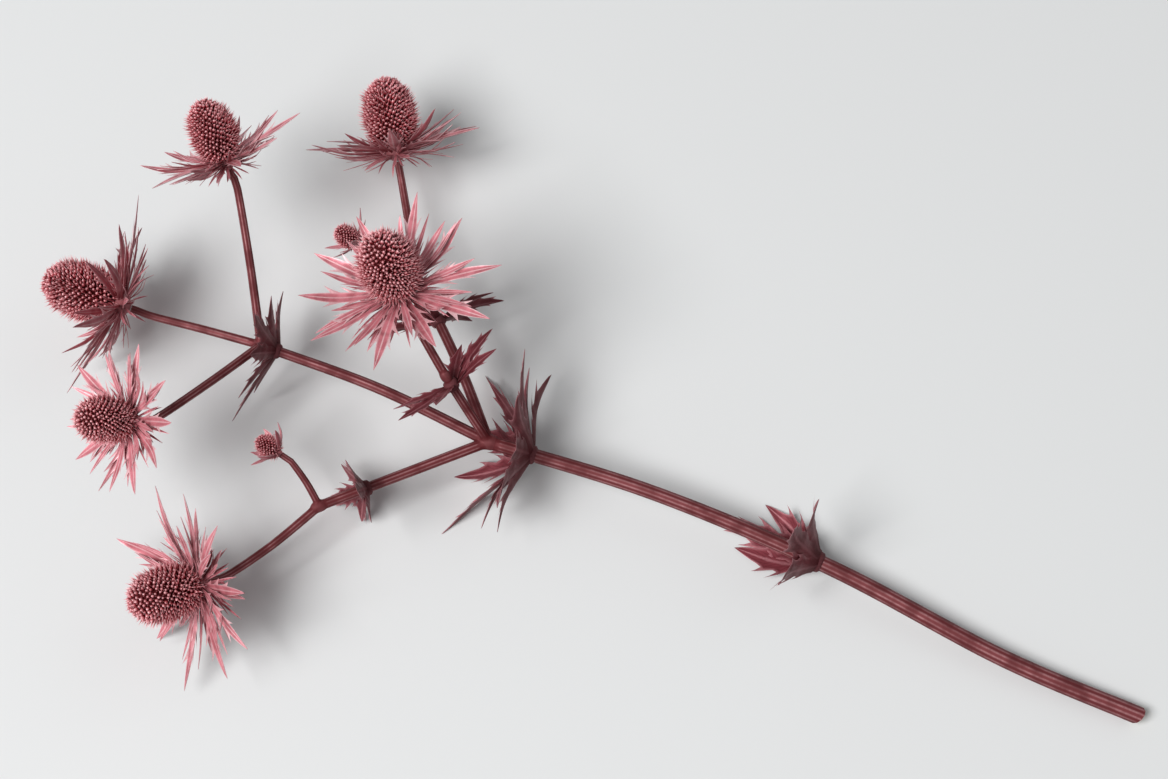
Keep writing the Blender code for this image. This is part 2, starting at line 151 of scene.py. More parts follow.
def add_node(
    tree: NodeTree, kind: str, inputs: dict[Any, Any], output: Any = 0, **settings: Any
) -> NodeSocket:
    """Adds a shader node.

    Args:
        tree: The material's node tree.
        kind: The node's type name, without ShaderNode before it.
        inputs: Its inputs, as for feed.
        output: The name or number of the output that is wanted.
        **settings: The node's properties.

    Returns:
        The output's socket.
    """
    node = tree.nodes.new("ShaderNode" + kind)
    for name, value in settings.items():
        setattr(node, name, value)
    feed(tree, node, inputs)
    return node.outputs[output]


class Paint:
    """A new material, with short ways to add the nodes that the finishes need."""

    def __init__(self, name: str) -> None:
        """Makes the material."""
        self.material = bpy.data.materials.new(name)
        self.material.use_nodes = True
        self.tree = self.material.node_tree

    def place(self) -> NodeSocket:
        """The place on the object, in metres."""
        return add_node(self.tree, "TexCoord", {}, "Object")

    def mark(self, name: str) -> NodeSocket:
        """One of the vertex marks."""
        return add_node(self.tree, "Attribute", {}, "Fac", attribute_name=name)

    def noise(self, size_mm: float, detail: float) -> NodeSocket:
        """Noise with features of about the given size."""
        inputs = {"Vector": self.place(), "Scale": 1 / (size_mm * MM), "Detail": detail}
        return add_node(self.tree, "TexNoise", inputs, "Fac")

    def mix(self, share: Any, low: Any, high: Any) -> NodeSocket:
        """Two colours mixed by a share."""
        return add_node(self.tree, "Mix", {0: share, 6: low, 7: high}, 2, data_type="RGBA")

    def calculate(self, operation: str, *values: Any, clamp: bool = False) -> NodeSocket:
        """The result of an operation on sockets or numbers."""
        inputs = dict(enumerate(values))
        return add_node(self.tree, "Math", inputs, operation=operation, use_clamp=clamp)

    def product(self, *factors: Any) -> NodeSocket:
        """The product of sockets or numbers."""
        result = factors[0]
        for factor in factors[1:]:
            result = self.calculate("MULTIPLY", result, factor)
        return result

    def ramp(
        self, value: NodeSocket, span: Pair, ends: Pair = (0.0, 1.0), smooth: bool = False
    ) -> NodeSocket:
        """Goes from one end to the other while a value crosses a span, evenly or smoothly."""
        names = ("From Min", "From Max", "To Min", "To Max")
        inputs = {"Value": value, **dict(zip(names, (*span, *ends)))}
        kind = "SMOOTHSTEP" if smooth else "LINEAR"
        return add_node(self.tree, "MapRange", inputs, interpolation_type=kind)

    def coat(self, inputs: dict[str, Any]) -> Material:
        """Feeds the shader's inputs, and returns the material."""
        feed(self.tree, self.tree.nodes["Principled BSDF"], inputs)
        return self.material


@dataclass(frozen=True)
class PearlDye:
    """Floral dye with a pearl pigment, sprayed over plant tissue that then dried.

    The pigment gives a satin metal sheen. Its pale colour on ribs, edges and tips is painted sheen and
    highlight, partly the plant's own pale midribs and ridges; its deep burgundy in the hollows and at
    the roots of things is painted shade, and it also shows where the dye lies thin in patches.
    """

    name: str
    look: Look
    deep: str
    body: str
    pale: str
    shaded: str
    root_shade_span: Pair
    pale_share: float
    metallic: float
    roughness: float
    grain_mm: float
    patch_mm: float
    bump_mm: float
    specular: float = 0.3
    bare_roughness: float = 0.8
    shade_below: float = 0.6
    thin_share: float = 0.62
    veins: float = 0.0
    vein_slant: float = 0.0
    vein_depth: float = 0.4

    def material(self) -> Material:
        """Builds the material: deep in painted shade at roots and where dye is thin, then dyed, then pale
        painted sheen, then painted shade below.
        """
        paint = Paint(self.name)
        patches, grain = paint.noise(self.patch_mm, 3.0), paint.noise(self.grain_mm, 2.0)
        dye_and_shade = self.dye_and_shade(paint, patches)
        dyed = paint.mix(dye_and_shade, linear(self.deep), linear(self.body))
        veined = paint.mix(self.vein(paint), dyed, linear(self.shaded))
        lit = paint.mix(self.crest(paint, grain, patches), veined, linear(self.pale))
        shade = paint.product(paint.mark("under"), self.shade_below)
        satin = paint.ramp(grain, (0.0, 1.0), (self.roughness - 0.1, self.roughness + 0.14))
        rough = {0: dye_and_shade, 2: self.bare_roughness, 3: satin}
        relief = {"Height": grain, "Distance": self.bump_mm * MM, "Strength": 0.6}
        return paint.coat(
            {
                "Base Color": paint.mix(shade, lit, linear(self.shaded)),
                "Roughness": add_node(paint.tree, "Mix", rough, data_type="FLOAT"),
                "Normal": add_node(paint.tree, "Bump", relief, "Normal"),
                "Metallic": self.metallic,
                "Specular IOR Level": self.specular,
            }
        )

    def dye_and_shade(self, paint: Paint, patches: NodeSocket) -> NodeSocket:
        """How much of the dyed colour shows, from 0 to 1: none at the roots, painted shade there, then
        uneven in patches where the dye lies thin, and less on pieces of low tone.
        """
        # Painted shade at the roots of blades and the feet of florets, where the ruff and the beads
        # crowd.
        reach = paint.ramp(paint.mark("along"), self.root_shade_span, smooth=True)
        uneven = paint.ramp(patches, (0.34, 0.6), (self.thin_share, 1.0))
        # A piece's tone; on florets it is higher up the cone, so they are paler there: painted light from
        # above.
        tone_and_top_light = paint.ramp(paint.mark("tone"), (0.0, 1.0), (0.5 + 0.5 * self.thin_share, 1.0))
        return paint.product(reach, uneven, tone_and_top_light)

    def vein(self, paint: Paint) -> NodeSocket:
        """Where the veins run, from 0 to 1: thin lines that leave the midrib on a slant."""
        across, along = paint.mark("across"), paint.mark("along")
        slanted = paint.calculate("MULTIPLY_ADD", across, -self.vein_slant, along)
        swung = paint.calculate("PINGPONG", paint.product(slanted, self.veins), 0.5)
        depth = self.vein_depth if self.veins else 0.0
        return paint.ramp(swung, (0.3, 0.5), (0.0, depth), smooth=True)

    def crest(self, paint: Paint, grain: NodeSocket, patches: NodeSocket) -> NodeSocket:
        """Where the pale colour lies, from 0 to 1, as painted sheen and highlight: by the look, then by
        chance and in flecks.
        """
        along, across = paint.mark("along"), paint.mark("across")
        if self.look is Look.RIBBED:
            # Painted sheen on the rib and the edges, partly the pale midrib, growing towards the tip.
            rib = paint.ramp(across, (0.02, 0.2), (0.7, 0.0), smooth=True)
            edge = paint.ramp(across, (0.6, 1.0), (0.0, 0.8), smooth=True)
            far = paint.ramp(along, (0.15, 0.9), (0.25, 1.0))
            shape = paint.product(paint.calculate("MAXIMUM", rib, edge), far)
        elif self.look is Look.TIPPED:
            shape = paint.ramp(along, (0.45, 1.0), smooth=True)
        else:
            # Painted highlight on the ridges, partly their own paler colour, broken up in patches.
            ridge = paint.ramp(across, (0.3, 1.0), smooth=True)
            patchy = paint.ramp(patches, (0.4, 0.6), (0.25, 1.0))
            shape = paint.product(ridge, patchy)
        # The same tone, which on florets carries painted light from above.
        chance = paint.ramp(paint.mark("tone"), (0.0, 1.0), (0.55, 1.25))
        flecks = paint.ramp(grain, (0.25, 0.75), (0.6, 1.2))
        flecked = paint.product(shape, chance, flecks)
        return paint.calculate("MULTIPLY", flecked, self.pale_share, clamp=True)


# Stiff spiny bracts take the spray full on: a bright rose, with painted sheen on rib and edges over a
# pale midrib, and painted shade at the roots and on the undersides.
BRACT_DYE = PearlDye(
    "pearl rose dye on bracts",
    Look.RIBBED,
    deep="#700D18",
    body="#EB919C",
    pale="#FFE4E6",
    shaded="#6C0F1A",
    root_shade_span=(-0.16, 0.34),
    pale_share=1.1,
    metallic=0.28,
    roughness=0.36,
    grain_mm=0.7,
    patch_mm=6.0,
    bump_mm=0.06,
    thin_share=0.5,
    veins=9.0,
    vein_slant=0.55,
)
# Leaves lower on the stem lie in the shade of the heads and take less of the pearl.
LEAF_DYE = PearlDye(
    "burgundy dye on leaves",
    Look.RIBBED,
    deep="#43050B",
    body="#93424C",
    pale="#E8A4AB",
    shaded="#45070E",
    root_shade_span=(-0.1, 0.35),
    pale_share=0.9,
    metallic=0.3,
    roughness=0.4,
    grain_mm=0.8,
    patch_mm=9.0,
    bump_mm=0.06,
    thin_share=0.5,
    veins=11.0,
    vein_slant=0.3,
)
# Florets: deep burgundy between the beads, painted shade there; pale on the bead crowns, a painted
# highlight, and towards the spine tips, partly painted highlight.
FLORET_DYE = PearlDye(
    "pearl rose dye on florets",
    Look.TIPPED,
    deep="#4E0005",
    body="#B82C3C",
    pale="#FFC8CC",
    shaded="#3E0308",
    root_shade_span=(0.12, 0.72),
    pale_share=1.3,
    metallic=0.15,
    roughness=0.38,
    grain_mm=0.6,
    patch_mm=9.0,
    bump_mm=0.05,
)
# Woody stem: satin dye, paler on the ridges, partly painted highlight and partly the ridges' own colour,
# broken up in patches, and plain in the grooves.
STEM_DYE = PearlDye(
    "burgundy dye on ridged stem",
    Look.RIDGED,
    deep="#3C080C",
    body="#763236",
    pale="#CE9C9E",
    shaded="#480F14",
    root_shade_span=(-1.0, -0.5),
    pale_share=0.8,
    metallic=0.3,
    roughness=0.42,
    grain_mm=0.9,
    patch_mm=9.0,
    bump_mm=0.08,
)


@dataclass(frozen=True)
class CutPith:
    """The fresh cut through a woody stem: pale pith in a ring of straw-coloured fibres."""

    name: str = "pale pith at the cut"
    pith: str = "#E4D8B4"
    fibre: str = "#A88E5E"
    fibre_mm: float = 0.5
    roughness: float = 0.75

    def material(self) -> Material:
        """Builds the material, with fine speckled fibres."""
        paint = Paint(self.name)
        fibres = {"Vector": paint.place(), "Scale": 1 / (self.fibre_mm * MM)}
        cells = add_node(paint.tree, "TexVoronoi", fibres, "Distance")
        colour = paint.mix(cells, linear(self.pith), linear(self.fibre))
        return paint.coat({"Base Color": colour, "Roughness": self.roughness})


def at(x: float, y: float, z: float) -> Vector:
    """A point given in millimetres from the floor below the main fork."""
    return Vector((x, y, z)) * MM + FOOTPRINT_SHIFT


def smooth_line(points: list[Vector], step: float) -> list[Vector]:
    """Puts points close together on a smooth curve through the given ones.

    Args:
        points: The points that the curve runs through.
        step: The distance between two points of the line, about.

    Returns:
        The points of the line, its two ends included.
    """
    ends = [2 * points[0] - points[1], *points, 2 * points[-1] - points[-2]]
    line = []
    for before, start, end, after in zip(ends, ends[1:], ends[2:], ends[3:]):
        count = max(1, round((end - start).length / step))
        for i in range(count):
            t = i / count
            bend = 2 * start + (end - before) * t + (2 * before - 5 * start + 4 * end - after) * t**2
            line.append(0.5 * (bend + (3 * start - before - 3 * end + after) * t**3))
    line.append(points[-1])
    return line


def facing_frame(seat: Vector, facing: Vector) -> Matrix:
    """A matrix that puts the origin at seat and turns +Z to facing."""
    turn = Vector(facing).to_track_quat("Z", "Y").to_matrix().to_4x4()
    return Matrix.Translation(seat) @ turn


def off_floor(point: Vector) -> Vector:
    """Bends what would pass below the surface, so that it lies along it."""
    if point.z >= FLOOR_BEND:
        return point
    return Vector((point.x, point.y, FLOOR_BEND * math.exp(point.z / FLOOR_BEND - 1)))


def smoothstep(share: float) -> float:
    """An even bend from 0 to 1 as share goes from 0 to 1."""
    t = min(1.0, max(0.0, share))
    return t * t * (3 - 2 * t)


def to_mesh(bm: BMesh, name: str) -> Mesh:
    """Turns a bmesh to a mesh, and frees it."""
    mesh = bpy.data.meshes.new(name)
    bm.to_mesh(mesh)
    bm.free()
    return mesh


def add_object(name: str, data: Any) -> Object:
    """Adds an object to the scene."""
    obj = bpy.data.objects.new(name, data)
    bpy.context.scene.collection.objects.link(obj)
    return obj


@lru_cache(maxsize=None)
def unit_tube(sides: int, rows: int) -> Mesh:
    """A closed tube of radius 1 from z 0 to 1, which blades and stems are shaped from.

    Args:
        sides: The number of sides round it.
        rows: The number of rows of faces along it.

    Returns:
        Its mesh.
    """
    bm = bmesh.new()
    bmesh.ops.create_cone(bm, cap_ends=True, segments=sides, radius1=1, radius2=1, depth=1)
    bmesh.ops.rotate(bm, matrix=Matrix.Rotation(math.pi / 2, 3, "Z"), verts=bm.verts)
    bmesh.ops.translate(bm, vec=(0, 0, 0.5), verts=bm.verts)
    long_edges = [e for e in bm.edges if abs(e.verts[0].co.z - e.verts[1].co.z) > 0.5]
    if rows > 1:
        bmesh.ops.subdivide_edges(bm, edges=long_edges, cuts=rows - 1, use_grid_fill=True)
    return to_mesh(bm, "unit_tube")


def marked_bmesh() -> BMesh:
    """A new bmesh whose vertices carry the marks that the finishes read."""
    bm = bmesh.new()
    for name in MARKS:
        bm.verts.layers.float.new(name)
    return bm


def append(bm: BMesh, mesh: Mesh) -> list[BMVert]:
    """Adds a mesh to a bmesh, and returns the new vertices."""
    start = len(bm.verts)
    bm.from_mesh(mesh)
    bm.verts.ensure_lookup_table()
    return bm.verts[start:]


def settle(name: str, bm: BMesh, finish: Material, sharp_deg: float = 50) -> Object:
    """Closes a bmesh into a smooth-shaded object, and frees it.

    Args:
        name: The object's name.
        bm: The bmesh.
        finish: Its material.
        sharp_deg: The angle past which an edge is shaded sharp.

    Returns:
        The new object.
    """
    bmesh.ops.remove_doubles(bm, verts=bm.verts, dist=MERGE_DISTANCE)
    bmesh.ops.recalc_face_normals(bm, faces=bm.faces)
    mesh = to_mesh(bm, name)
    mesh.materials.append(finish)
    mesh.shade_smooth()
    mesh.set_sharp_from_angle(angle=math.radians(sharp_deg))
    return add_object(name, mesh)


def stand_for(obj: Object, node: str) -> None:
    """Puts an object in the place of a node of the frame, and reports it."""
    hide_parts(node)
    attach(obj, BODY)
    LOG.info("%s: %d faces", obj.name, len(obj.data.polygons))


@dataclass(frozen=True)
class Rank:
    """One ring of bracts in a ruff. Lengths in metres, angles in degrees."""

    count: int
    length: float
    width: float
    tooth: float
    teeth: int
    root_depth: float
    root_rise: tuple[float, float]
    tip_rise: tuple[float, float]


@dataclass(frozen=True)
class Tooth:
    """A spiny tooth: its root's place on the midrib, its tip's place, and its reach as a share of
    the blade's tooth size."""

    root: float
    tip: float
    reach: float


TEETH = {
    4: (Tooth(0.15, 0.24, 0.8), Tooth(0.36, 0.49, 1.1), Tooth(0.56, 0.69, 1.0), Tooth(0.76, 0.85, 0.6)),
    3: (Tooth(0.20, 0.31, 0.8), Tooth(0.39, 0.55, 1.18), Tooth(0.60, 0.73, 1.0)),
    2: (Tooth(0.35, 0.52, 1.2), Tooth(0.57, 0.71, 1.05)),
    1: (Tooth(0.47, 0.64, 1.15),),
    0: (),
}


@dataclass(frozen=True)
class BladePath:
    """The middle line of a bract or leaf lobe, which bends evenly and swings clear of the floor."""

    place: Matrix
    azimuth: float
    root: Pair
    rises: Pair
    length: float
    roll: float

    def heading(self, angle: float) -> tuple[Vector, Vector]:
        """The way that the line runs at an angle above the plane it grows from, and its normal."""
        outward = Vector((math.cos(self.azimuth), math.sin(self.azimuth), 0))
        along = outward * math.cos(angle) + UP * math.sin(angle)
        return along, UP * math.cos(angle) - outward * math.sin(angle)

    def points(self, rises: Pair) -> list[Vector]:
        """Evenly spaced points in the frame that the line grows from, for rises at root and tip."""
        points = [self.heading(0)[0] * self.root[0] + UP * self.root[1]]
        for i in range(BLADE_STEPS):
            along, _ = self.heading(rise_at((i + 0.5) / BLADE_STEPS, rises))
            points.append(points[-1] + along * self.length / BLADE_STEPS)
        return points

    def swung(self) -> Pair:
        """The rises at which the tip no longer passes far below the surface."""
        turned = self.rises
        for turn in range(0, 90, SWING_STEP_DEG):
            extra = math.radians(turn)
            turned = (self.rises[0] + ROOT_SWING * extra, self.rises[1] + extra)
            if (self.place @ self.points(turned)[-1]).z > -FLOOR_PRESS:
                break
        return turned

    def frames(self) -> Callable[[float], tuple[Vector, Vector, Vector]]:
        """Returns a function that gives point, side and normal at a share of the length."""
        rises = self.swung()
        points = self.points(rises)
        across = Vector((-math.sin(self.azimuth), math.cos(self.azimuth), 0))
        turned = self.place.to_3x3()

        def frame_at(t: float) -> tuple[Vector, Vector, Vector]:
            i = min(BLADE_STEPS - 1, int(t * BLADE_STEPS))
            point = points[i].lerp(points[i + 1], t * BLADE_STEPS - i)
            along, normal = self.heading(rise_at(t, rises))
            turn = Matrix.Rotation(self.roll * t, 3, along)
            return self.place @ point, turned @ (turn @ across), turned @ (turn @ normal)

        return frame_at


def rise_at(t: float, rises: Pair) -> float:
    """A blade's angle above the plane it grows from, at a share of its length."""
    return rises[0] + (rises[1] - rises[0]) * smoothstep((t - BLADE_BEND_START) / BLADE_BEND_SPAN)


@dataclass(frozen=True)
class Row:
    """A cross-section of a blade: its place on the midrib, the half width of its body, and where
    the tooth's outline stands, if one does: its place and its half width on either side."""

    place: float
    half: float
    spike_place: float
    spike_halves: Pair


@dataclass(frozen=True)
class Blade:
    """A bract or a leaf lobe: channelled, with a rib below, sharp edges and spiny teeth.

    Places along it are shares of its length, and places across it are shares of its half width.
    """

    path: BladePath
    width: float
    tooth: float
    teeth: int
    skew: float
    tone: float
    lopsided: float = 0.0
    scallop: float = 0.0
    sides: int = 16
    root_share: float = 0.55
    widest: float = 0.56
    half_thickness: float = 0.32 * MM
    rib: float = 0.38 * MM
    rib_reach: float = 0.36
    channel: float = 0.17
    shoulder: float = 0.924
    edge_share: float = 1.04
    tooth_before: float = 0.065
    tooth_after: float = 0.05
    longest_row: float = 0.14
    tip_rows: int = 5

    def body_half(self, t: float) -> float:
        """The half width of the blade without its teeth, at a share of its length."""
        if t < self.widest:
            share = self.root_share + (1 - self.root_share) * smoothstep(t / self.widest)
        else:
            share = 1 - ((t - self.widest) / (1 - self.widest)) ** BLADE_TAPER
        lobe = 0.0
        for tooth in TEETH[self.teeth]:
            away = abs(t - tooth.root) / (LOBE_BEFORE if t < tooth.root else LOBE_AFTER)
            lobe = max(lobe, (1 - away) * tooth.reach)
        return self.width * BLADE_FULLNESS * share * (1 + self.scallop * lobe)

    def rows(self) -> list[Row]:
        """The cross-sections from root to tip."""
        chance = random.Random(round(self.tone * 1e6))
        rows = [self.plain_row(0.0)]
        for tooth in TEETH[self.teeth]:
            is_far = tooth.root - rows[-1].place > self.longest_row
            for share in (0.5, 1.0) if is_far else (1.0,):
                start = rows[-1].place
                rows.append(self.plain_row(start + (tooth.root - self.tooth_before - start) * share))
            reaches = [self.tooth * tooth.reach * chance.uniform(0.78, 1.1) for _ in range(2)]
            rows += self.tooth_rows(tooth, reaches)
            rows.append(self.plain_row(tooth.root + self.tooth_after))
        last = rows[-1].place
        for i in range(1, self.tip_rows + 1):
            rows.append(self.plain_row(last + (BLADE_LAST_ROW - last) * i / self.tip_rows))
        return rows + [self.plain_row(1.0)]

    def tooth_rows(self, tooth: Tooth, reaches: list[float]) -> list[Row]:
        """The cross-sections of a tooth: half way out, at its tip, and half way back."""
        rows = []
        for step, share, power in (
            (-0.45 * self.tooth_before, 0.48, 1.15),
            (0.0, 1.0, 1.0),
            (0.45 * self.tooth_after, 0.48, 0.9),
        ):
            root = tooth.root + (-self.tooth_before if step < 0 else self.tooth_after)
            half = self.body_half(tooth.root + step)
            halves = tuple(half + max(0.0, reach - half) * share**power for reach in reaches)
            rows.append(Row(tooth.root + step, half, root + (tooth.tip - root) * share, halves))
        return rows

    def plain_row(self, t: float) -> Row:
        """A cross-section with no tooth."""
        half = self.body_half(t)
        return Row(t, half, t, (half * self.edge_share, half * self.edge_share))

    def add_to(self, bm: BMesh) -> None:
        """Adds the blade to a marked bmesh."""
        rows = self.rows()
        frame_at = self.path.frames()
        verts = append(bm, unit_tube(self.sides, len(rows) - 1))
        layers = [bm.verts.layers.float[name] for name in MARKS]
        rings = [self.ring(frame_at, row) for row in rows]
        for vert in verts:
            u, face, s = vert.co
            index = round(s * (len(rows) - 1))
            vert.co = self.point(rings[index], u, face, rows[index].place)
            for layer, value in zip(layers, (rows[index].place, abs(u), float(face < -0.01), self.tone)):
                vert[layer] = value

    def ring(self, frame_at: Callable, row: Row) -> tuple:
        """A cross-section's middle and normal, then its two shoulders and its two edges."""
        shoulders, edges = [], []
        for side, spike_half in zip((1, -1), row.spike_halves):
            shift = side * self.skew if 0 < row.place < 0.97 else 0
            wide = 1 + side * self.lopsided
            for points, place, half in (
                (shoulders, row.place, row.half),
                (edges, row.spike_place, spike_half),
            ):
                point, across, normal = frame_at(min(1.0, place + shift))
                points.append(off_floor(point + (across * side + normal * BLADE_FOLD) * half * wide))
        point, _, normal = frame_at(row.place)
        return off_floor(point), normal, shoulders, edges

    def point(self, ring: tuple, u: float, face: float, t: float) -> Vector:
        """Where a point of a cross-section lies.

        Args:
            ring: The cross-section.
            u: How far it is to the side, from -1 to 1.
            face: How far it is up or down, from -1 to 1.
            t: The cross-section's place along the midrib.

        Returns:
            The point, no lower than the floor.
        """
        centre, normal, shoulders, edges = ring
        which = 0 if u > 0 else 1
        side = abs(u)
        if side > 0.99:
            place = edges[which].copy()
        else:
            share = side / self.shoulder
            reach = (shoulders[which] - centre).length
            depth = self.half_thickness * face * (1 - BLADE_THINNING * t)
            if face < 0:
                depth -= self.rib * max(0, 1 - side / self.rib_reach) * (1 - t)
            sag = -self.channel * reach * share * (1 - share) * 2
            if t >= 1:
                depth = sag = 0
            place = centre.lerp(shoulders[which], share) + normal * (depth + sag)
        place.z = max(place.z, 0)
        return place


def add_turned(bm: BMesh, place: Matrix, profile: list[Pair], steps: int) -> None:
    """Adds a closed solid turned about a frame's axis.

    Args:
        bm: The marked bmesh that it goes to.
        place: The frame.
        profile: Radius and height of the points down its outer side.
        steps: The number of steps round it.
    """
    turned = marked_bmesh()
    verts = [turned.verts.new((radius, 0, height)) for radius, height in profile]
    edges = [turned.edges.new(pair) for pair in zip(verts, verts[1:])]
    span = {"axis": (0, 0, 1), "cent": (0, 0, 0), "angle": math.tau, "steps": steps}
    bmesh.ops.spin(turned, geom=verts + edges, use_merge=True, **span)
    bmesh.ops.holes_fill(turned, edges=[e for e in turned.edges if e.is_boundary])
    bmesh.ops.recalc_face_normals(turned, faces=turned.faces)
    bmesh.ops.transform(turned, matrix=place, verts=turned.verts)
    mesh = to_mesh(turned, "turned")
    append(bm, mesh)
    bpy.data.meshes.remove(mesh)


def cone_profile(share: float) -> Pair:
    """Radius and height of a cone at a share of the way from its tip to its seat, for size 1."""
    height = CONE_LENGTH * (0.5 + 0.5 * math.cos(math.pi * share))
    bulge = math.sin(math.pi * share**1.10) ** 0.80 if 0 < share < 1 else 0
    seat = CONE_SEAT_RADIUS * max(0, (share - 0.55) / 0.45) ** 1.4
    return max(CONE_RADIUS * bulge, seat), height


@dataclass(frozen=True)
class Spine:
    """A floret's spine: its length, the radius of its root, the side it stands on and its lean."""

    length: float
    radius: float
    azimuth_deg: float
    lean_deg: float


@dataclass(frozen=True)
class FlowerCone:
    """An egg-shaped cone set all over with florets: a bead each, with three fine spines."""

    name: str
    place: Matrix
    size: float
    seed: int
    florets_at_size_1: int = 580
    florets_to: float = 0.93
    core_share: float = 0.90
    core_drop: float = 0.07
    core_steps: int = 24
    core_tip: float = 0.2 * MM
    bead_radius: float = 0.80 * MM
    bead_height: float = 1.35 * MM
    bead_lift: float = 1.15 * MM
    spines: tuple[Spine, ...] = (
        Spine(5.4 * MM, 0.52 * MM, -90, 5),
        Spine(3.9 * MM, 0.34 * MM, 30, 16),
        Spine(3.8 * MM, 0.34 * MM, 150, 16),
    )
    wander: float = 0.28 * MM
    lean: float = 0.13
    turn: float = 0.6
    crown_from: float = 0.78
    crown_spine_share: float = 0.66

    def floret_mesh(self, spine_share: float) -> Mesh:
        """One floret on +Z for size 1, with its marks and its spines at a share of their length."""
        bm = marked_bmesh()
        bead = bmesh.ops.create_uvsphere(bm, u_segments=7, v_segments=5, radius=1)["verts"]
        along = bm.verts.layers.float["along"]
        for vert in bead:
            # Along rises up the bead, so its crown takes the pale colour as a painted highlight and its
            # foot the deep colour as painted shade between the beads.
            vert[along] = 0.1 + 0.75 * (0.5 + 0.5 * vert.co.z)
            slim = self.bead_radius * (1 - 0.3 * max(0, vert.co.z))
            vert.co.x *= slim
            vert.co.y *= slim
            vert.co.z = vert.co.z * self.bead_height + self.bead_lift
        for spine in self.spines:
            turn = Matrix.Rotation(math.radians(spine.azimuth_deg), 4, "Z")
            lean = Matrix.Rotation(math.radians(spine.lean_deg), 4, "Y")
            root = Matrix.Translation((self.bead_radius * 0.7, 0, 0))
            length = spine.length * spine_share
            stand = turn @ root @ lean @ Matrix.Translation((0, 0, length / 2))
            sizes = {"radius1": spine.radius, "radius2": 0, "depth": length}
            made = bmesh.ops.create_cone(bm, cap_ends=True, segments=4, matrix=stand, **sizes)
            for vert in made["verts"]:
                # Spine tips go furthest along, pale in part as painted highlight.
                vert[along] = 0.1 + min(1.0, max(0.0, vert.co.z / length))
        return to_mesh(bm, "floret")

    def core_point(self, share: float) -> Pair:
        """Radius and height of the core, which lies a little inside the cone's outline."""
        radius, height = cone_profile(share)
        return radius * self.core_share, height * (1 - self.core_drop * (1 - share))

    def sites(self) -> list[tuple[Vector, Vector]]:
        """A point and an axis for each floret, on a spiral that gives each the same room."""
        steps = 240
        shares = [self.florets_to * i / steps for i in range(steps + 1)]
        room = [0.0]
        for a, b in zip(shares, shares[1:]):
            (ra, ha), (rb, hb) = cone_profile(a), cone_profile(b)
            room.append(room[-1] + (ra + rb) * math.hypot(rb - ra, hb - ha))
        count = round(self.florets_at_size_1 * self.size)
        made = []
        i = 0
        for k in range(count):
            wanted = room[-1] * (k + 0.5) / count
            while room[i + 1] < wanted:
                i += 1
            share = shares[i] + (shares[i + 1] - shares[i]) * (wanted - room[i]) / (room[i + 1] - room[i])
            radius, height = self.core_point(share)
            (r0, h0), (r1, h1) = cone_profile(max(0, share - 0.01)), cone_profile(share + 0.01)
            outward = Vector((h0 - h1, 0, r1 - r0)).normalized()
            axis = (outward * 0.85 + UP * 0.42).normalized()
            turn = Matrix.Rotation(GOLDEN_ANGLE * k, 3, "Z")
            made.append((turn @ Vector((radius, 0, height)), turn @ axis))
        return made

    def build(self, finish: Material) -> Object:
        """Builds the cone in the given material."""
        draw = random.Random(self.seed + 500)
        bm = marked_bmesh()
        core = [self.core_point(i / self.core_steps) for i in range(self.core_steps + 1)]
        profile = [(radius, height) for radius, height in core if radius > self.core_tip]
        scaled = self.place @ Matrix.Scale(self.size, 4)
        add_turned(bm, scaled @ Matrix.Translation((0, 0, SEAT_GAP)), profile, 32)
        usual, crown = self.floret_mesh(1.0), self.floret_mesh(self.crown_spine_share)
        tone = bm.verts.layers.float["tone"]
        for point, axis in self.sites():
            turn = Matrix.Rotation(draw.uniform(-self.turn, self.turn), 4, "Z")
            grown = Matrix.Scale(draw.uniform(0.80, 1.1) / math.sqrt(self.size), 4)
            moved = point + Vector([draw.uniform(-self.wander, self.wander) for _ in range(3)])
            leaned = axis + Vector([draw.uniform(-self.lean, self.lean) for _ in range(3)])
            stand = scaled @ facing_frame(moved, leaned) @ turn @ grown
            verts = append(bm, crown if point.z > self.crown_from * CONE_LENGTH else usual)
            # Florets higher on the cone get a higher tone, and so a paler colour: painted light from
            # above.
            chance = draw.random() * (0.55 + 0.45 * point.z / CONE_LENGTH)
            for vert in verts:
                vert.co = stand @ vert.co
                vert[tone] = chance
        for floret in (usual, crown):
            bpy.data.meshes.remove(floret)
        return settle(self.name, bm, finish, sharp_deg=60)


# How needle-fine bracts and the lobes of leaves differ from other blades.
NEEDLE = {"sides": 6, "half_thickness": 0.24 * MM, "rib": 0.1 * MM}
LOBE = {"scallop": 0.45, "root_share": 0.9, "widest": 0.42, "tooth_before": 0.05, "tooth_after": 0.04}


